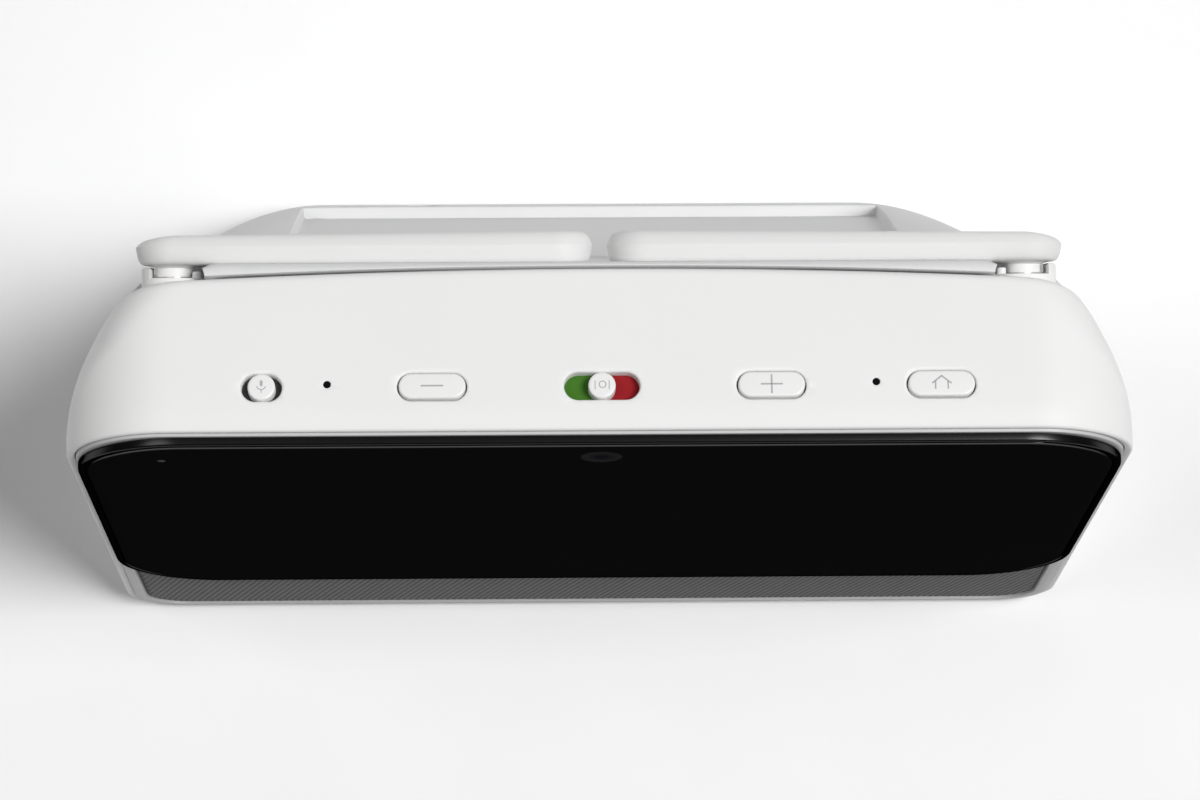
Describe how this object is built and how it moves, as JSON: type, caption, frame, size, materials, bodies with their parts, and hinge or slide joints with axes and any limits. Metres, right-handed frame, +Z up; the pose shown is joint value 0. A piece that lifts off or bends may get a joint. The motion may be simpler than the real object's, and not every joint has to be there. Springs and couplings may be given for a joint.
{
  "type": "smart speaker with touchscreen",
  "caption": "Countertop smart display and speaker with a tilted touchscreen, cloth grille, top buttons, sliding privacy switches and folding rear antennas.",
  "frame": {"origin": "on the table, under the middle of the body's footprint", "axes": "+X to the right along the body's width, +Y from the screen towards the back, +Z up"},
  "size_m": [0.19, 0.0826, 0.1387],
  "materials": {
    "shell_white": "satin",
    "frame_grey": "satin",
    "cover_grey": "fine texture",
    "dark_plastic": "satin",
    "screen_glass": "polished black glass",
    "panel": "gloss",
    "cloth": "twill",
    "steel": "brushed",
    "spreader": "satin",
    "board": "solder mask",
    "ribbon": "polyimide",
    "brass": "plated",
    "green": "satin",
    "red": "satin",
    "rubber": "matte"
  },
  "bodies": {
    "housing": {"main_shell": "shell_white", "front_frame": "frame_grey", "display_frame": "dark_plastic", "cover_glass": "screen_glass", "lcd_panel": "panel", "camera_module": "dark_plastic", "camera_lens": "panel", "light_sensor": "panel", "grille_carrier": "dark_plastic", "grille_cloth": "cloth", "speaker_box": "dark_plastic", "speaker_baskets": "dark_plastic", "speaker_magnets": "steel", "speaker_cones": "dark_plastic", "speaker_seals": "rubber", "chassis_plate": "steel", "heat_spreader": "spreader", "thermal_pad": "rubber", "processor": "dark_plastic", "main_board": "board", "shield_can": "steel", "radio_module": "steel", "display_ribbon": "ribbon", "button_board": "board", "tact_switches": "dark_plastic", "slide_switches": "steel", "microphones": "brass", "mic_slot_floor": "dark_plastic", "camera_on_label": "green", "camera_off_label": "red", "rear_cover": "cover_grey", "case_screws": "steel", "board_screws": "steel", "dc_inlet": "dark_plastic", "dc_inlet_pin": "brass", "rubber_feet": "rubber", "antenna_bush_left": "brass", "antenna_bush_right": "brass", "antenna_lead_left": "rubber", "antenna_lead_right": "rubber"},
    "antenna_left": {"antenna_left": "shell_white", "antenna_strip_left": "brass", "antenna_pivot_left": "steel", "antenna_clip_left": "steel"},
    "antenna_right": {"antenna_right": "shell_white", "antenna_strip_right": "brass", "antenna_pivot_right": "steel", "antenna_clip_right": "steel"},
    "volume_down_button": {"volume_down_button": "shell_white"},
    "volume_up_button": {"volume_up_button": "shell_white"},
    "home_button": {"home_button": "shell_white"},
    "mic_slider": {"mic_slider": "shell_white"},
    "camera_slider": {"camera_slider": "shell_white", "camera_shutter": "dark_plastic"}
  },
  "joints": [
    {"name": "antenna_left_fold", "type": "hinge", "parent": "housing", "child": "antenna_left", "pos_m": [-0.0757, 0.02245, 0.12], "axis": [0, -1, 0], "range_deg": [0, 180]},
    {"name": "antenna_right_fold", "type": "hinge", "parent": "housing", "child": "antenna_right", "pos_m": [0.0757, 0.02245, 0.12], "axis": [0, 1, 0], "range_deg": [0, 180]},
    {"name": "volume_down_press", "type": "slide", "parent": "housing", "child": "volume_down_button", "axis": [0, -0.3007, -0.9537], "range_m": [0, 0.0006], "stiffness_N_per_m": 1500},
    {"name": "volume_up_press", "type": "slide", "parent": "housing", "child": "volume_up_button", "axis": [0, -0.3007, -0.9537], "range_m": [0, 0.0006], "stiffness_N_per_m": 1500},
    {"name": "home_press", "type": "slide", "parent": "housing", "child": "home_button", "axis": [0, -0.3007, -0.9537], "range_m": [0, 0.0006], "stiffness_N_per_m": 1500},
    {"name": "mic_switch_slide", "type": "slide", "parent": "housing", "child": "mic_slider", "axis": [1, 0, 0], "range_m": [-0.0009, 0.0009]},
    {"name": "camera_switch_slide", "type": "slide", "parent": "housing", "child": "camera_slider", "axis": [1, 0, 0], "range_m": [-0.004, 0.004]}
  ]
}
